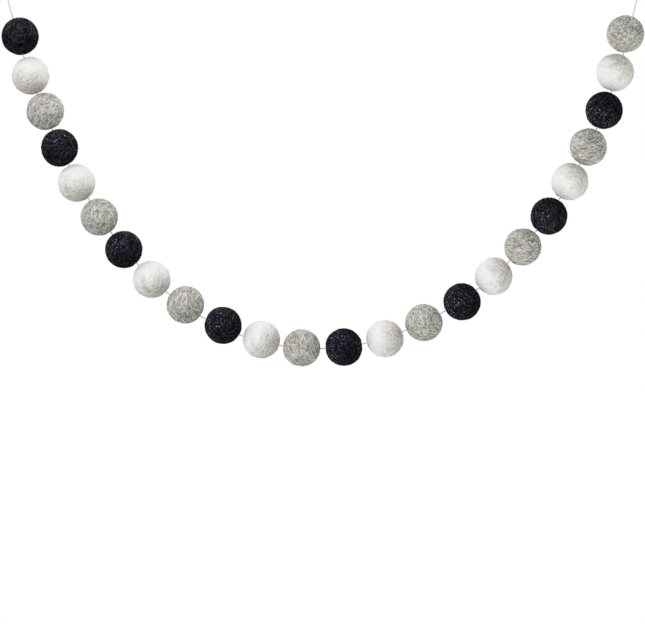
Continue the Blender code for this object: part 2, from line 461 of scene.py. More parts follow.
@dataclass(frozen=True)
class FeltFinish:
    """One wool's look. Colours are linear, and places are in ball radii, with X along the
    string, Y to the back and Z above the string."""

    colour: FeltColour
    # The ground's own colour where the string enters, and a painted shade towards where it
    # leaves: its colour, the way in which it deepens, and where along that way it starts and has
    # ended
    pale: Colour
    deep: Colour
    lean: Place
    shade_from: float
    shade_to: float
    # A painted patch of light and shade: painted light on the front of the black and the grey
    # wool, and pinkish painted shade towards where the string leaves on the white; its colour,
    # its middle, its reach and how much of it shows
    cloud: Colour
    painted_patch_at: Place
    painted_patch_reach: float
    painted_patch_share: float
    # Dark marks between combed fibres, partly the wool's own dark fibres and partly painted
    # shade in the gaps, which grow towards the painted shade: the noise below which they start
    # and how much of them shows on the lit side
    dark: Colour
    dark_below: float
    dark_on_lit_side: float
    # The paler fibres, which on the black wool are painted glints, with how much of them shows
    # and the noise above which they start
    light: Colour
    light_share: float
    light_above: float
    # How many fibres lie side by side on one radius, how long they are for their width, and
    # how far the noise runs from where they start to where they are full
    fibre_scale: float
    fibre_length: float
    edge: float
    fleck_scale: float
    # The axes about which the wool was rolled: over most of the front, and over the back
    front_axis: Place
    back_axis: Place = (-0.45, -0.48, 0.75)
    fleck_share: float = 0.7
    fleck_curl: float = 1.2
    fleck_edge: tuple[float, float] = (0.02, 0.11)
    # How far the fibres wander, and how far they fade on the deeper side of the painted shade.
    # The paler ones have a fade of their own, and below nought it makes them show more there.
    stir: float = 0.38
    stir_scale: float = 1.8
    comb_fade: float = 0.4
    light_fade: float = 0.5
    # Single threads within a lock, and how far they break it up
    thread_scale: float = 48.0
    thread_edge: tuple[float, float] = (0.38, 0.62)
    breakup: float = 0.6
    # A drift that keeps the painted shade's lean and the painted patch from being even, and how
    # far it moves each
    drift_scale: float = 2.6
    shade_drift: float = 1.1
    painted_patch_drift: float = 0.9
    painted_patch_core: float = 0.2
    # The patches that are combed the second way, of which there are more towards the back
    patch_scale: float = 1.6
    patch_edge: tuple[float, float] = (0.5, 0.6)
    patch_behind: float = 0.12
    # How far ridges, as painted light, and the strands' and hairs' own lighter tones lighten the
    # wool, and how far creases, dimples and the bore, as painted shade, and the strands' own
    # darker tones darken it
    strand_tone_and_painted_light: float = 0.8
    strand_tone_and_painted_shade: float = 0.8
    # The shader's relief: curled hairlines, a fine grain, the shares of both and of the
    # threads, and its strength and depth
    hairline_scale: float = 7.0
    hairline_width: float = 0.12
    hairline_curl: float = 1.4
    grain_scale: float = 34.0
    grain_curl: float = 0.8
    relief_shares: tuple[float, float, float] = (0.4, 0.4, 0.6)
    relief_strength: float = 0.8
    relief_depth: float = 0.16 * MM
    roughness: float = 0.95
    sheen: float = 0.06
    specular: float = 0.12

    def combed(self, finish: Finish, place: Socket, region: Socket, scale: float) -> Socket:
        """Fibres combed two ways, one way in each patch of the ball.

        Args:
            finish: The material.
            place: Where the fibres are read.
            region: 0 where the first way shows and 1 where the second does.
            scale: How many lie side by side on one radius.

        Returns:
            The fibres, from 0 to 1 round one half.
        """
        first, second = (finish.drawn_out(place, axis, scale, self.fibre_length)
                         for axis in (self.front_axis, self.back_axis))
        return finish.plus(first, finish.times(region, finish.math("SUBTRACT", second, first)))

    def lay_ground(self, finish: Finish, place: Socket) -> tuple[Socket, Socket]:
        """Colour the wool under its fibres: a painted shade that leans from pale to deep, and a
        painted patch of light and shade upon it.

        Args:
            finish: The material.
            place: Places about the ball's own middle.

        Returns:
            How far the painted shade's lean has come, from 0 to 1, and the colour.
        """
        drift = finish.math("SUBTRACT", finish.noise(place, self.drift_scale, 3.0), MEAN_NOISE)
        lean = finish.plus(finish.vector("DOT_PRODUCT", place, self.lean),
                           finish.times(drift, self.shade_drift))
        lean = finish.rise(lean, self.shade_from, self.shade_to)
        # The painted patch of light and shade, which fades out from its middle
        reach = finish.plus(finish.vector("DISTANCE", place, self.painted_patch_at),
                            finish.times(drift, self.painted_patch_drift))
        core = self.painted_patch_core * self.painted_patch_reach
        cloud = finish.rest(finish.rise(reach, core, self.painted_patch_reach))
        ground = finish.mix(lean, self.pale, self.deep)
        return lean, finish.mix(finish.times(cloud, self.painted_patch_share), ground, self.cloud)

    def build(self) -> bpy.types.Material:
        """Lay the pattern: a painted shade that leans along the string, a painted patch of light
        and shade, combed fibres and flecks, and the relief's painted light and shade.

        Gaps and locks are where the combed noise is low and where it is high, and pits and
        flecks are the same for a finer, curled noise. Gaps and pits are partly painted shade, and
        on the black wool locks and flecks are painted glints. Threads break up all four.

        Returns:
            The felt's material.
        """
        finish = Finish(self.colour.value + "_wool")
        inside = finish.attribute(PLACE, "Vector")
        place = finish.vector("WRAP", inside, (LOT_STEP / 2,) * 3, (-LOT_STEP / 2,) * 3)
        # The lean is painted shade, darker towards where the string leaves
        lean, ground = self.lay_ground(finish, place)

        stir = finish.noise(inside, self.stir_scale, output="Color")
        stirred = finish.vector("ADD", inside, finish.vector("SCALE", stir, self.stir))
        behind = finish.times(finish.vector("DOT_PRODUCT", place, tuple(TO_BACK)),
                              self.patch_behind)
        region = finish.plus(finish.noise(inside, self.patch_scale, 1.0), behind)
        region = finish.rise(region, *self.patch_edge)
        comb = self.combed(finish, stirred, region, self.fibre_scale)
        threads = self.combed(finish, stirred, region, self.thread_scale)
        threads = finish.rise(threads, *self.thread_edge)
        specks = finish.noise(stirred, self.fleck_scale, 2.0, self.fleck_curl)
        # The combed fibres fade on the painted shade's side
        smooth = finish.rest(finish.times(lean, self.comb_fade))
        near, far = self.fleck_edge

        # Dark marks, partly painted shade, grow towards the painted shade's side, in gaps, pits
        # and creases alike
        more = finish.plus(self.dark_on_lit_side, finish.times(lean, 1.0 - self.dark_on_lit_side))
        gaps = finish.rest(finish.rise(comb, self.dark_below - self.edge, self.dark_below))
        pits = finish.rest(finish.rise(specks, self.dark_below - far, self.dark_below - near))
        dark = finish.math("MAXIMUM", finish.times(gaps, smooth), finish.times(pits, lean))
        between = finish.rest(finish.times(threads, self.breakup))
        dark = finish.times(finish.times(dark, more), between)
        ground = finish.mix(dark, ground, self.dark)

        # The paler fibres have a fade of their own on the painted shade's side
        less = finish.rest(finish.times(lean, self.light_fade))
        # On the black wool these locks and flecks are painted glints
        locks = finish.rise(comb, self.light_above, self.light_above + self.edge)
        flecks = finish.rise(specks, self.light_above + near, self.light_above + far)
        light = finish.math("MAXIMUM", finish.times(locks, smooth),
                            finish.times(flecks, self.fleck_share))
        light = finish.times(light, finish.times(less, self.light_share))
        upon = finish.plus(1.0 - self.breakup, finish.times(threads, self.breakup))
        ground = finish.mix(finish.times(light, upon), ground, self.light)

        # Painted light on risen streaks and painted shade in creases, dimples and the bore, with
        # the strands' and hairs' own tones
        tone = finish.attribute(TONE, "Fac")
        light_strands_and_painted_light = finish.math("MULTIPLY", tone, self.strand_tone_and_painted_light, clamp=True)
        ground = finish.mix(light_strands_and_painted_light, ground, self.light)
        dark_strands_and_painted_shade = finish.math("MULTIPLY", finish.times(tone, -self.strand_tone_and_painted_shade), more, clamp=True)
        ground = finish.mix(dark_strands_and_painted_shade, ground, self.dark)

        hairlines = finish.hairlines(stirred, self.hairline_scale, self.hairline_width,
                                     self.hairline_curl)
        grain = finish.noise(inside, self.grain_scale, 3.0, self.grain_curl)
        parts = [finish.times(part, share)
                 for part, share in zip((hairlines, grain, threads), self.relief_shares)]
        relief = finish.plus(finish.plus(parts[0], parts[1]), parts[2])
        finish.bump(relief, self.relief_strength, self.relief_depth)
        finish.set_shader({
            "Base Color": ground,
            "Roughness": self.roughness,
            "Specular IOR Level": self.specular,
            "Sheen Weight": self.sheen,
            "Sheen Roughness": 0.6,
        })
        return finish.material


@dataclass(frozen=True)
class CordFinish:
    """Off-white cotton string in pale and deeper streaks, greyer where it was handled."""

    pale: Colour = (0.85, 0.85, 0.84)
    deep: Colour = (0.61, 0.61, 0.60)
    handled: Colour = (0.46, 0.46, 0.45)
    handled_share: float = 0.5
    # Places are in string radii across, and along it in lays of the plies, where a streak is
    # drawn out
    stretch: Place = (1.0, 1.0, 0.35)
    streak_scale: float = 5.0
    streak_edge: tuple[float, float] = (0.35, 0.7)
    fuzz_scale: float = 14.0
    fuzz_depth: float = 0.06 * MM

    def build(self) -> bpy.types.Material:
        """Streak the string along its plies.

        Returns:
            The string's material.
        """
        finish = Finish("cotton_string")
        long = finish.vector("MULTIPLY", finish.attribute(TWIST, "Vector"), self.stretch)
        streaks = finish.rise(finish.noise(long, self.streak_scale, 3.0, 0.5), *self.streak_edge)
        share = finish.times(finish.attribute(TONE, "Fac"), self.handled_share)
        finish.bump(finish.noise(long, self.fuzz_scale), 0.5, self.fuzz_depth)
        finish.set_shader({
            "Base Color": finish.mix(share, finish.mix(streaks, self.pale, self.deep),
                                     self.handled),
            "Roughness": 0.85,
            "Specular IOR Level": 0.2,
            "Sheen Weight": 0.1,
        })
        return finish.material


FELTS = {
    FeltColour.BLACK: FeltFinish(
        colour=FeltColour.BLACK,
        pale=(0.0035, 0.0040, 0.0076),
        deep=(0.0013, 0.0012, 0.0024),
        lean=(0.9, 0.0, -0.35),
        shade_from=-0.7,
        shade_to=0.45,
        cloud=(0.005, 0.0082, 0.0165),
        painted_patch_at=(-0.05, -0.85, 0.1),
        painted_patch_reach=0.8,
        painted_patch_share=0.7,
        dark=(0.0010, 0.0010, 0.002),
        dark_below=0.52,
        dark_on_lit_side=0.8,
        # The black wool's paler fibres are painted glints
        light=(0.64, 0.66, 0.76),
        light_share=0.9,
        light_above=0.617,
        light_fade=0.68,
        fibre_scale=38.0,
        fibre_length=2.8,
        fleck_scale=42.0,
        fleck_curl=2.0,
        edge=0.07,
        strand_tone_and_painted_light=0.12,
        sheen=0.0,
        specular=0.02,
        front_axis=(-0.2, -0.98, 0.05),
        strand_tone_and_painted_shade=0.45,
    ),
    FeltColour.WHITE: FeltFinish(
        colour=FeltColour.WHITE,
        pale=(0.86, 0.86, 0.84),
        deep=(0.56, 0.535, 0.49),
        lean=(0.90, 0.0, -0.45),
        shade_from=-0.55,
        shade_to=0.85,
        cloud=(0.42, 0.34, 0.36),
        painted_patch_at=(0.95, -0.45, 0.0),
        painted_patch_reach=0.8,
        painted_patch_share=0.74,
        dark=(0.11, 0.095, 0.075),
        dark_below=0.49,
        dark_on_lit_side=0.07,
        light=(0.90, 0.90, 0.89),
        light_share=0.9,
        light_above=0.50,
        fibre_scale=36.0,
        fibre_length=7.0,
        fleck_scale=38.0,
        edge=0.08,
        stir=0.22,
        comb_fade=0.2,
        strand_tone_and_painted_shade=0.24,
        sheen=0.2,
        front_axis=(-0.5, -0.86, -0.05),
    ),
    FeltColour.GREY: FeltFinish(
        colour=FeltColour.GREY,
        pale=(0.50, 0.476, 0.432),
        deep=(0.212, 0.217, 0.190),
        lean=(0.9, 0.0, -0.34),
        shade_from=-0.52,
        shade_to=0.42,
        cloud=(0.46, 0.432, 0.395),
        painted_patch_at=(-0.1, -0.85, 0.46),
        painted_patch_reach=0.7,
        painted_patch_share=0.6,
        dark=(0.018, 0.021, 0.015),
        dark_below=0.495,
        dark_on_lit_side=0.8,
        light=(0.88, 0.86, 0.81),
        light_share=0.77,
        light_above=0.51,
        light_fade=-0.55,
        fibre_scale=20.0,
        fibre_length=4.5,
        fleck_scale=30.0,
        fleck_share=1.0,
        edge=0.07,
        stir=0.22,
        comb_fade=0.5,
        front_axis=(0.76, -0.43, 0.49),
    ),
}


@dataclass
class FeltBall:
    """One wet-felted ball on the string: matted skin, strands laid on it, and loose hairs."""

    number: int
    colour: FeltColour
    centre: np.ndarray
    enters: np.ndarray
    leaves: np.ndarray
    radius: float = 12.5 * MM
    bore_radius: float = 0.55 * MM
    dimple_radius: float = 1.5 * MM
    dimple_depth: float = 0.55 * MM
    fold_frequency: float = 12.0
    fold_length: float = 3.0
    lump_height: float = 0.07 * MM
    crease_depth: float = 0.20 * MM
    crease_width: float = 0.25
    streak_height: float = 0.08 * MM
    streak_frequency: float = 40.0
    # Streaks are smeared this many steps each way along the flow, in radii, and their sum is
    # brought back to a spread of about 1
    smear_steps: int = 4
    smear_stride: float = 0.045
    smear_spread: float = 4.2
    axis_wander: float = 0.6
    around: int = 126
    over: int = 74
    bore_rings: int = 4
    strands: int = 300
    strand_steps: int = 7
    hairs: int = 110
    hair_steps: int = 7

    def __post_init__(self) -> None:
        """Set the ball's own axes: along the string, to the back, and above the string."""
        along = unit(self.leaves - self.enters)
        above = np.array([-along[2], 0.0, along[0]])
        self.axes = np.stack([along, TO_BACK, above])
        self.off_centre = float((self.centre - (self.enters + self.leaves) / 2) @ above)
        self.seed = 1000 + 37 * self.number
        self.half = math.sqrt(self.radius**2 - self.off_centre**2)
        self.roll = unit(np.array(FELTS[self.colour].front_axis))

    def flow(self, directions: np.ndarray) -> np.ndarray:
        """The way in which the wool was rolled: round an axis that wanders over the ball.

        Args:
            directions: Places on the ball, as directions from its middle.

        Returns:
            A direction along the skin at each place.
        """
        wander = [WaveNoise(1.7, self.seed + k, 12).at(directions) for k in range(3)]
        axis = np.stack(wander, -1) * self.axis_wander + self.roll
        # The small shift keeps a place on the axis itself from having no direction
        return unit(np.cross(directions, axis) + 1e-6)

    def streaks(self, directions: np.ndarray) -> np.ndarray:
        """Fine noise smeared along the flow: its sum over nine places in a row, evened out.

        Args:
            directions: Places on the ball.

        Returns:
            Streaks with a spread of about 1.
        """
        fine = WaveNoise(self.streak_frequency, self.seed + 7, 30)
        total = fine.at(directions)
        for way in (-1.0, 1.0):
            place = directions
            for _ in range(self.smear_steps):
                place = unit(place + way * self.smear_stride * self.flow(place))
                total = total + fine.at(place)
        return total / self.smear_spread

    def relief(self, directions: np.ndarray) -> tuple[np.ndarray, np.ndarray]:
        """How far the skin stands from the round ball, and how light it is.

        Soft lumps, less a crease where a noise that is drawn out round the roll axis crosses
        nought, plus streaks, less a dimple round each mouth of the bore. The tone paints light
        on streaks as they rise and paints shade in creases and dimples.

        Args:
            directions: Places on the ball.

        Returns:
            The height, and the tone with its painted light and shade, at each place.
        """
        lumps = WaveNoise(3.2, self.seed + 11).at(directions)
        lumps = lumps + 0.5 * WaveNoise(8.0, self.seed + 12).at(directions)
        kept = (directions @ self.roll)[..., None] * self.roll * (1.0 - 1.0 / self.fold_length)
        folds = WaveNoise(self.fold_frequency, self.seed + 13)
        folds = folds.at(directions / self.fold_length + kept)
        where = smooth_step(WaveNoise(2.5, self.seed + 14).at(directions), -0.2, 1.2)
        crease = np.exp(-(folds / self.crease_width) ** 2) * where
        streaks = self.streaks(directions)
        height = (self.lump_height * lumps - self.crease_depth * crease
                  + self.streak_height * streaks)
        for side in (-1.0, 1.0):
            mouth = np.array([side * self.half, 0.0, -self.off_centre]) / self.radius
            away = np.linalg.norm(directions - mouth, axis=-1) * self.radius
            well = np.exp(-(away / self.dimple_radius) ** 2)
            height = height * (1.0 - 0.7 * well) - self.dimple_depth * well
            crease = np.maximum(crease, 0.6 * well)
        # The tone: painted light on risen streaks and painted shade in creases and dimples
        return height, 0.14 * np.clip(streaks, -2.0, 2.0) - 0.6 * crease

    def to_world(self, local: np.ndarray) -> np.ndarray:
        """Take points from the ball's own axes, about its middle, to the garland's frame."""
        return self.centre + local @ self.axes

    def lot(self, local: np.ndarray) -> np.ndarray:
        """Where the finish is read: places in radii, in this ball's own lot of wool."""
        return local / self.radius + np.array([LOT_STEP * self.number, 0.0, 0.0])

    def skin(self) -> Surface:
        """The matted skin and the bore through it, as one closed surface.

        A ring at the angle a from the entering side lies in the directions (-cos a, sin a
        cos t, sin a sin t), shifted below the middle by the tangent of the string's offset, so
        that both poles fall on the string. The bore is a tube along the string that joins them.

        Returns:
            The skin.
        """
        turns = even_turns(self.around)
        mouth_angle = self.bore_radius / self.radius
        angles = np.linspace(mouth_angle, math.pi - mouth_angle, self.over)
        # Rings crowd towards the two mouths, where the dimples are
        crowd = 0.10 * np.sin(2 * angles)
        angles = np.clip(angles - crowd, mouth_angle, math.pi - mouth_angle)
        shift = math.tan(math.asin(self.off_centre / self.radius))
        sine = np.sin(angles)[:, None]
        directions = unit(np.stack([
            np.repeat(-np.cos(angles)[:, None], self.around, axis=1),
            sine * np.cos(turns),
            sine * np.sin(turns) - shift,
        ], -1))
        heights, tones = self.relief(directions)
        outside = directions * (self.radius + heights)[..., None]
        ends = outside[[-1, 0]].mean(axis=1)[:, 0]
        along = np.linspace(ends[0], ends[1], self.bore_rings + 2)[1:-1, None]
        bore = np.stack([
            np.repeat(along, self.around, axis=1),
            np.tile(self.bore_radius * np.cos(turns), (self.bore_rings, 1)),
            np.tile(self.bore_radius * np.sin(turns) - self.off_centre, (self.bore_rings, 1)),
        ], -1)
        local = np.concatenate([outside, bore])
        index = np.arange(len(local) * self.around).reshape(len(local), self.around)
        beside = np.roll(index, -1, axis=1)
        quads = np.stack([index, beside, np.roll(beside, -1, axis=0), np.roll(index, -1, axis=0)],
                         -1).reshape(-1, 4)
        places = self.lot(local).reshape(-1, 3)
        # Painted shade inside the bore
        tones = np.concatenate([tones.ravel(), np.full(self.bore_rings * self.around, -0.8)])
        return Surface(self.to_world(local).reshape(-1, 3), quads, np.zeros((0, 3), int), places,
                       tones)

    def wander(self, count: int, steps: int, lengths: np.ndarray, seed: int) -> np.ndarray:
        """Paths over the skin that follow the flow and curl a little.

        Args:
            count: How many paths.
            steps: How many points each has.
            lengths: How long each is.
            seed: Which random numbers.

        Returns:
            Directions from the ball's middle, as (path, step, 3).
        """
        random = np.random.default_rng(seed)
        place = unit(random.normal(size=(count, 3)))
        lean = random.normal(0.0, 0.45, count)
        curl = random.normal(0.0, 0.16, count)
        stride = (lengths / self.radius / (steps - 1))[:, None]
        path = [place]
        for step in range(steps - 1):
            way = self.flow(place)
            turn = (lean + curl * step)[:, None]
            way = way * np.cos(turn) + np.cross(place, way) * np.sin(turn)
            place = unit(place + stride * way)
            path.append(place)
        return np.stack(path, axis=1)

    def laid_strands(self) -> Surface:
        """Locks of wool felted into the skin: low ridges, tapered at both ends."""
        random = np.random.default_rng(self.seed + 21)
        lengths = random.uniform(3.0, 8.0, self.strands) * MM
        paths = self.wander(self.strands, self.strand_steps, lengths, self.seed + 22)
        taper = np.sin(np.linspace(0.06, 0.94, self.strand_steps) * math.pi) ** 0.7
        width = random.uniform(0.13, 0.34, self.strands)[:, None] * MM * taper
        rise = random.uniform(0.06, 0.14, self.strands)[:, None] * MM * taper
        ground = self.radius + self.relief(paths)[0] - 0.03 * MM
        shape = np.array([[-1.0, -0.4], [1.0, -0.4], [0.0, 1.0]])
        outline = np.stack([width, rise], -1)[:, :, None] * shape
        local = paths * ground[..., None]
        tones = random.choice([-1.0, -1.0, 0.5, 1.0], self.strands)
        tones = tones * random.uniform(0.2, 0.9, self.strands)
        return self.swept(local, paths, outline, tones)

    def loose_hairs(self) -> Surface:
        """Single fibres that have worked loose: each leaves the skin and bends back to it."""
        random = np.random.default_rng(self.seed + 31)
        lengths = random.uniform(1.8, 5.0, self.hairs) * MM
        paths = self.wander(self.hairs, self.hair_steps, lengths, self.seed + 32)
        share = np.linspace(0.0, 1.0, self.hair_steps)
        lift = random.uniform(0.12, 0.55, self.hairs)[:, None] * MM
        skew = random.uniform(0.8, 2.2, self.hairs)[:, None]
        arch = lift * np.sin(np.pi * share**skew) ** 0.9
        ground = self.radius + self.relief(paths)[0] - 0.02 * MM + arch
        thick = random.uniform(0.018, 0.032, self.hairs)[:, None] * MM * (1.0 - 0.5 * share)
        outline = thick[:, :, None, None] * circle(3)
        local = paths * ground[..., None]
        # Loose hairs are a little lighter; on the black wool that lightening is a painted glint
        tones = random.uniform(0.1, 0.7, self.hairs)
        return self.swept(local, paths, outline, tones)

    def swept(self, local: np.ndarray, ups: np.ndarray, outline: np.ndarray,
              tones: np.ndarray) -> Surface:
        """Make tubes along paths that are given about the ball's own middle.

        Args:
            local: The paths, as (path, step, 3).
            ups: Directions out of the skin along them.
            outline: The tubes' outlines, as for sweep.
            tones: Each tube's tone.

        Returns:
            The tubes in the garland's frame.
        """
        corners = outline.shape[2]
        places = np.repeat(self.lot(local)[:, :, None], corners, axis=2)
        return sweep(self.to_world(local), ups @ self.axes, outline, places, tones)

    def dress(self, material: bpy.types.Material) -> bpy.types.Object:
        """Make the ball and let it stand for its solid.

        Args:
            material: The felt.

        Returns:
            The finished piece.
        """
        surface = self.skin().joined([self.laid_strands(), self.loose_hairs()])
        piece = surface.build(f"felt_ball_{self.number:02d}", material, PLACE)
        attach(piece, ROOT)
        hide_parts(f"ball_{self.number:02d}")
        LOG.info("%s: %s, %d triangles", piece.name, self.colour.name, surface.triangle_count)
        return piece


@dataclass
class TwistedCord:
    """Three plies laid together, carried along a path."""

    radius: float = 0.45 * MM
    lay: float = 3.0 * MM
    plies: int = 3
    groove: float = 0.30
    corners: int = 18

    def surface(self, path: np.ndarray, ups: np.ndarray, twist: np.ndarray,
                depth: np.ndarray) -> Surface:
        """Carry the plies' outline along a path.

        The outline's radius is the cord's, less the groove times |sin(plies * t / 2)|^3 of the
        angle t in the turning outline.

        Args:
            path: The centreline, as (step, 3).
            ups: A direction out of it at each step.
            twist: How far the outline has turned at each step, in radians.
            depth: How much of the groove shows at each step, from 0 to 1.

        Returns:
            The cord, with closed ends.
        """
        angles = even_turns(self.corners)
        grooves = np.abs(np.sin(self.plies * angles / 2)) ** 3
        sizes = self.radius * (1.0 - self.groove * depth[:, None] * grooves)
        turned = angles + twist[:, None]
        outline = np.stack([sizes * np.cos(turned), sizes * np.sin(turned)], -1)
        places = np.stack([
            np.tile(np.cos(angles), (len(path), 1)),
            np.tile(np.sin(angles), (len(path), 1)),
            np.repeat(lengths_along(path)[:, None] / self.lay, self.corners, axis=1),
        ], -1)
        return sweep(path[None], ups[None], outline[None], places[None], np.zeros(1))

    def along_path(self, path: np.ndarray, ups: np.ndarray) -> Surface:
        """The cord along an evenly stepped path, as for surface, turning once in each lay."""
        return self.surface(path, ups, TURN * lengths_along(path) / self.lay, np.ones(len(path)))


@dataclass
class GarlandString:
    """The long string: fine where it shows, and plain and straight inside each ball."""

    route: StringRoute
    stretches: list[tuple[float, float]]
    cord: TwistedCord = field(default_factory=TwistedCord)
    fine_step: float = 0.22 * MM
    hidden_step: float = 3.0 * MM
    end_points: int = 8
    hidden_from: float = 1.2 * MM
    groove_fade: float = 0.3 * MM
    into_knot: float = 1.0 * MM

    def corner_distances(self) -> np.ndarray:
        """Where the string may bend, by length along the route: at its ends and at mouths."""
        first, last = self.stretches[0][0], self.stretches[-1][1]
        lead_in = np.linspace(0.0, first, self.end_points, endpoint=False)
        lead_out = np.linspace(self.route.length, last, self.end_points, endpoint=False)[::-1]
        return np.concatenate([lead_in, np.ravel(self.stretches), lead_out])

    def centreline(self) -> np.ndarray:
        """The string's corners, with both ends led on into their knots."""
        points = self.route.at(self.corner_distances())
        start = points[0] + self.into_knot * unit(points[0] - points[1])
        end = points[-1] + self.into_knot * unit(points[-1] - points[-2])
        return np.concatenate([[start], points, [end]])

    def dress(self, material: bpy.types.Material,
              loops: list[bpy.types.Object]) -> bpy.types.Object:
        """Make the string and let it stand for its solid.

        Args:
            material: The cotton.
            loops: The tied loops in which it ends. Not used.

        Returns:
            The finished piece.
        """
        line = self.centreline()
        along = lengths_along(line)
        # The mouths follow the led-on end and the lead-in's own points
        first = 1 + self.end_points
        mouths = along[first:first + 2 * len(self.stretches)].reshape(-1, 2)
        inner = mouths + np.array([self.hidden_from, -self.hidden_from])
        bounds = np.concatenate([[0.0], inner.ravel(), along[-1:]])
        places = []
        for k, (low, high) in enumerate(zip(bounds, bounds[1:])):
            step = self.hidden_step if k % 2 else self.fine_step
            count = max(2, round((high - low) / step))
            places.append(np.linspace(low, high, count, endpoint=False))
        distances = np.concatenate([*places, bounds[-1:]])
        # Each point is the mean of five places, which rounds the bends at the mouths
        spread = np.array([-0.5, -0.25, 0.0, 0.25, 0.5])[:, None] * MM
        near = np.clip(distances + spread, 0.0, along[-1])
        path = read_line(line, along, near).mean(0)
        path[0], path[-1] = line[0], line[-1]
        since, until = distances[:, None] - inner[:, 0], inner[:, 1] - distances[:, None]
        buried = np.max(smooth_step(since, -self.groove_fade, 0.0)
                        * smooth_step(until, -self.groove_fade, 0.0), axis=1)
        ups = np.tile(TO_BACK, (len(path), 1))
        surface = self.cord.surface(path, ups, TURN * distances / self.cord.lay, 1.0 - buried)
        # Only the stretches past the outer balls were handled
        free = (distances < mouths[0, 0]) | (distances > mouths[-1, 1])
        surface.tones = np.repeat(free.astype(float), self.cord.corners)
        piece = surface.build("cotton_string", material, TWIST)
        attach(piece, ROOT)
        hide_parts("string")
        LOG.info("%s: %.0f mm long, %d triangles", piece.name, self.route.length / MM,
                 surface.triangle_count)
        return piece


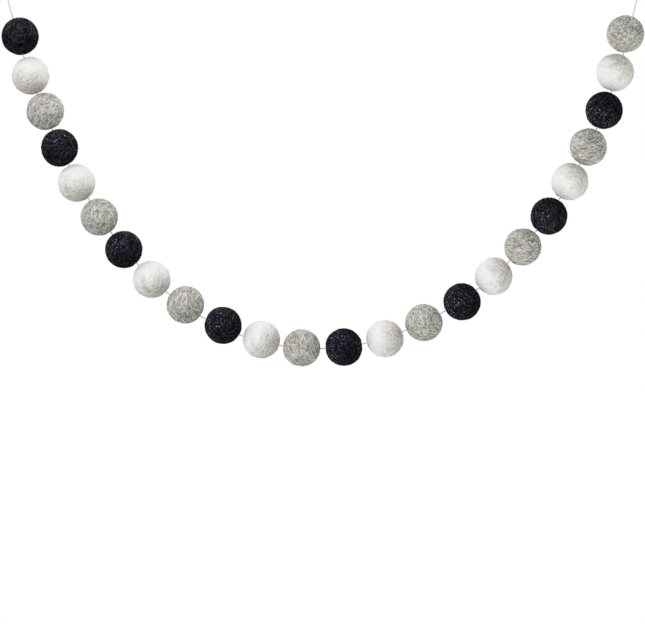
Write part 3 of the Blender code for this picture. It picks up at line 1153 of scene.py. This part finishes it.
@dataclass
class HangingLoop:
    """A tied loop: the drop that bears on the hook, a knot of three turns, and the cut end."""

    name: str
    node: str
    hook: tuple[float, float]
    pull: np.ndarray
    side: float
    cord: TwistedCord = field(default_factory=TwistedCord)
    drop_length: float = 12.0 * MM
    drop_width: float = 6.0 * MM
    leg_spacing: float = 1.2 * MM
    knot_length: float = 3.6 * MM
    knot_turns: float = 3.0
    knot_radius: float = 1.45 * MM
    tail_length: float = 7.0 * MM
    tail_angle: float = math.radians(26)
    tail_curl: float = math.radians(14)
    step: float = 0.2 * MM
    frays: int = 16

    def to_world(self, local: np.ndarray) -> np.ndarray:
        """Turn points from the loop's own axes, with its hook at the top, to the garland's.

        Args:
            local: Points as across, to the back and up, along the last axis.

        Returns:
            The same points in the garland's frame.
        """
        up = np.array([-self.pull[0], 0.0, -self.pull[1]])
        across = np.array([up[2], 0.0, -up[0]])
        hook = np.array([self.hook[0], 0.0, self.hook[1]])
        return hook + local @ np.stack([across, TO_BACK, up])

    def drop(self) -> np.ndarray:
        """The drop's centreline.

        Across is a share of sin(t) sin(t / 2)^2 plus the legs' spacing times cos(t / 2), and
        the height is (1 - cos t) / 2 of the drop's length, for t from 0 to a full turn.

        Returns:
            Points about the hook, in the loop's own axes.
        """
        turn = np.linspace(0.0, TURN, 90)
        # The most that sin(t) sin(t / 2)^2 reaches, at a third of the turn
        widest = 0.75 * math.sqrt(0.75)
        across = self.drop_width / 2 / widest * np.sin(turn) * np.sin(turn / 2) ** 2
        across = across + self.leg_spacing / 2 * np.cos(turn / 2)
        height = self.drop_length + self.cord.radius
        up = height * (1 - np.cos(turn)) / 2 - self.drop_length
        points = np.stack([across, np.zeros(len(turn)), up], -1)
        # The legs lean together inside the knot
        inside = np.array([[0.55, 1.0], [0.35, 2.2]]) * [self.leg_spacing / 2, MM]
        first = [[x, 0.0, -self.drop_length - z] for x, z in inside[::-1]]
        last = [[-x, 0.0, -self.drop_length - z] for x, z in inside]
        return np.concatenate([first, points, last])

    def wraps(self) -> np.ndarray:
        """The knot's centreline: a close coil whose two ends tuck in under it."""
        share = np.linspace(0.0, 1.0, 140)
        reach = self.knot_radius - self.cord.radius
        tuck = 1.0 - 0.6 * (smooth_step(share, 0.10, 0.0) + smooth_step(share, 0.90, 1.0))
        turn = TURN * self.knot_turns * share + 0.6
        fall = self.cord.radius + (self.knot_length - 2 * self.cord.radius) * share
        return np.stack([reach * tuck * np.cos(turn), reach * tuck * np.sin(turn),
                         -self.drop_length - fall], -1)

    def tail(self) -> np.ndarray:
        """The cut end's centreline, which leans out further as it goes."""
        share = np.linspace(0.0, 1.0, 40)
        lean = self.tail_angle + self.tail_curl * share
        root = np.array([self.side * self.leg_spacing / 2, 0.0,
                         -self.drop_length - self.knot_length / 2])
        way = np.stack([self.side * np.sin(lean), np.zeros(len(share)), -np.cos(lean)], -1)
        return root + share[:, None] * self.tail_length * way

    def fray(self, tail: np.ndarray) -> Surface:
        """Single threads that spread from the cut end.

        Args:
            tail: The cut end's centreline, in the loop's own axes.

        Returns:
            The threads.
        """
        random = np.random.default_rng(77 if self.side < 0 else 78)
        way = unit(tail[-1] - tail[-4])
        spread = random.normal(0.0, 0.3, (self.frays, 3))
        ways = unit(way + spread)
        root = tail[-1] - 0.3 * MM * way + random.normal(0.0, 0.13 * MM, (self.frays, 3))
        share = np.linspace(0.0, 1.0, 6)
        length = random.uniform(0.8, 1.7, self.frays)[:, None, None] * MM
        bend = random.normal(0.0, 0.35, (self.frays, 1, 3))
        paths = root[:, None] + length * (share[:, None] * ways[:, None]
                                          + share[:, None] ** 2 * bend)
        thick = 0.055 * MM * (1.0 - 0.6 * share)
        outline = np.tile(thick[:, None, None] * circle(4), (self.frays, 1, 1, 1))
        ups = np.tile(unit(np.cross(way, [0.3, 1.0, 0.2])), (self.frays, len(share), 1))
        places = np.repeat(paths[:, :, None] / MM, 4, axis=2)
        surface = sweep(paths, ups, outline, places, np.zeros(self.frays))
        surface.points = self.to_world(surface.points)
        return surface

    def dress(self, material: bpy.types.Material) -> bpy.types.Object:
        """Make the loop and let it stand for its solid.

        Args:
            material: The cotton.

        Returns:
            The finished piece.
        """
        tail = self.tail()
        parts = []
        for line in (self.drop(), self.wraps(), tail):
            path = even_steps(line, self.step)
            # The drop and the tail lie in the garland's plane, and the wraps go round the way up
            flat = np.ptp(line[:, 1]) == 0
            up = TO_BACK if flat else np.array([0.0, 0.0, 1.0])
            part = self.cord.along_path(path, np.tile(up, (len(path), 1)))
            part.points = self.to_world(part.points)
            parts.append(part)
        surface = parts[0].joined([*parts[1:], self.fray(tail)])
        surface.tones = np.ones(len(surface.points))
        piece = surface.build(self.name, material, TWIST)
        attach(piece, ROOT)
        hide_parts(self.node)
        LOG.info("%s: %d triangles", piece.name, surface.triangle_count)
        return piece


@dataclass
class Garland:
    """The whole garland: where each ball sits on the string, and its pieces in order."""

    route: StringRoute = field(default_factory=StringRoute)
    ball_count: int = 24
    ball_radius: float = 12.5 * MM
    mouth_gap: float = 0.15 * MM
    skin_from: float = 0.97

    def ball_centre(self, node: str) -> np.ndarray:
        """The middle of a packed ball, from the sphere that fits its points best.

        The sphere |p|^2 = 2 c . p + k is linear in c and k, so least squares finds both.

        Args:
            node: The ball's node.

        Returns:
            The sphere's middle.
        """
        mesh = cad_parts[node].data
        points = np.zeros(3 * len(mesh.vertices), np.float32)
        mesh.vertices.foreach_get("co", points)
        points = points.reshape(-1, 3).astype(float)
        middle = (points.min(0) + points.max(0)) / 2
        # Points further in than this belong to the bore
        outer = np.linalg.norm(points - middle, axis=1) > self.skin_from * self.ball_radius
        points = points[outer]
        terms = np.concatenate([2 * points, np.ones((len(points), 1))], axis=1)
        return np.linalg.lstsq(terms, (points**2).sum(1), rcond=None)[0][:3]

    def build(self) -> None:
        """Make every piece in the order in which the garland is strung."""
        felts = {colour: finish.build() for colour, finish in FELTS.items()}
        cotton = CordFinish().build()
        colours = list(FeltColour)
        stretches = []
        reach = self.ball_radius + self.mouth_gap
        for k in range(self.ball_count):
            centre = self.ball_centre(f"ball_{k + 1:02d}")
            place = self.route.nearest(centre)
            stretches.append((place - reach, place + reach))
            enters, leaves = self.route.at(np.array(stretches[-1]))
            colour = colours[k % len(colours)]
            FeltBall(k + 1, colour, centre, enters, leaves).dress(felts[colour])
        left, right = self.route.hook_pulls()
        loops = [
            HangingLoop("left_tied_loop", "left_loop", self.route.hooks[0], left, -1.0),
            HangingLoop("right_tied_loop", "right_loop", self.route.hooks[1], right, 1.0),
        ]
        tied = [loop.dress(cotton) for loop in loops]
        GarlandString(self.route, stretches).dress(cotton, tied)


@dataclass
class Studio:
    """A pale floor, soft light all round, and the camera at the photograph's angle."""

    # The picture is 645 by 624 pixels, and 37.2 of them span one 25 mm ball
    pixel: float = 25.0 * MM / 37.2
    picture_width: int = 645
    picture_middle: tuple[float, float] = (322.0, 311.5)
    hook_pixel: tuple[float, float] = (-6.2, -50.0)
    lens: float = 150.0
    sensor: float = 36.0
    floor_height: float = -1.3
    floor_radius: float = 5.0
    floor_corners: int = 64
    floor_colour: Colour = (0.86, 0.86, 0.85)
    fade_from: float = 0.8
    fade_to: float = 4.5
    world_light: float = 1.0
    key_power: float = 4.5
    key_size: float = 1.2
    # Where the light stands from the middle of the picture
    key_place: Place = (-0.9, -1.8, 0.9)

    def focus(self) -> np.ndarray:
        """The point of the garland's plane that lies in the middle of the picture."""
        across = (self.picture_middle[0] - self.hook_pixel[0]) * self.pixel
        down = (self.picture_middle[1] - self.hook_pixel[1]) * self.pixel
        return np.array([across, 0.0, -down])

    def add_camera(self) -> None:
        """Look straight at the garland's plane, from where the picture is as wide as the photo."""
        data = bpy.data.cameras.new("camera")
        data.lens = self.lens
        data.sensor_width = self.sensor
        data.clip_start = 0.05
        data.clip_end = 60.0
        camera = bpy.data.objects.new("camera", data)
        bpy.context.scene.collection.objects.link(camera)
        distance = self.picture_width * self.pixel * self.lens / self.sensor
        camera.location = self.focus() - np.array([0.0, distance, 0.0])
        camera.rotation_euler = (math.pi / 2, 0.0, 0.0)
        bpy.context.scene.camera = camera

    def add_light(self) -> None:
        """A wide soft light above and to the left of the camera, and even light all round."""
        data = bpy.data.lights.new("key", "AREA")
        data.shape = "DISK"
        data.size = self.key_size
        data.energy = self.key_power
        key = bpy.data.objects.new("key", data)
        bpy.context.scene.collection.objects.link(key)
        key.location = self.focus() + np.array(self.key_place)
        aim = self.focus() - np.array(key.location)
        key.rotation_euler = (math.atan2(math.hypot(aim[0], aim[1]), -aim[2]), 0.0,
                              math.atan2(aim[1], aim[0]) - math.pi / 2)
        world = bpy.data.worlds.new("soft_light")
        world.use_nodes = True
        sky = world.node_tree.nodes["Background"]
        sky.inputs["Color"].default_value = (1.0, 1.0, 1.0, 1.0)
        sky.inputs["Strength"].default_value = self.world_light
        bpy.context.scene.world = world

    def add_floor(self) -> None:
        """A round pale floor that turns to the backdrop's white before its edge.

        A ring at the share s of the way out lies at the radius s times the floor's.
        """
        turns = even_turns(self.floor_corners)
        shares = np.array([0.25, 0.5, 0.75, 1.0])[:, None]
        rings = np.stack([shares * np.cos(turns), shares * np.sin(turns),
                          np.zeros((len(shares), len(turns)))], -1) * self.floor_radius
        middle = self.focus() * [1.0, 1.0, 0.0] + [0.0, 0.0, self.floor_height]
        points = np.concatenate([[middle], (middle + rings).reshape(-1, 3)])
        index = 1 + np.arange(shares.size * turns.size).reshape(shares.size, turns.size)
        beside = np.roll(index, -1, axis=1)
        quads = np.stack([index[:-1], index[1:], beside[1:], beside[:-1]], -1).reshape(-1, 4)
        hub = np.stack([np.zeros(turns.size, int), index[0], beside[0]], -1)
        finish = Finish("pale_floor")
        away = finish.vector("DISTANCE", finish.object_place(), tuple(middle))
        fade = finish.rise(away, self.fade_from, self.fade_to)
        finish.set_shader({
            "Base Color": finish.mix(fade, self.floor_colour, (0.0, 0.0, 0.0)),
            "Emission Color": finish.mix(fade, (0.0, 0.0, 0.0), (1.0, 1.0, 1.0)),
            "Emission Strength": 1.0,
            "Roughness": 0.9,
            "Specular IOR Level": 0.0,
        })
        floor = Surface(points, quads, hub, points, np.zeros(len(points)))
        floor.build("floor", finish.material, PLACE)

    def set_colours(self) -> None:
        """Show colours as they are, without a film curve."""
        view = bpy.context.scene.view_settings
        view.view_transform = "Standard"
        view.look = "None"
        view.exposure = 0.0
        view.gamma = 1.0

    def build(self) -> None:
        """Set up the camera, the lights and the floor."""
        self.add_camera()
        self.add_light()
        self.add_floor()
        self.set_colours()


def main() -> None:
    """Build the garland's looks and the studio round it, and log each garland piece's size."""
    logging.basicConfig(level=logging.INFO, format="%(name)s: %(message)s")
    Studio().build()
    Garland().build()


if __name__ == "__main__":
    main()
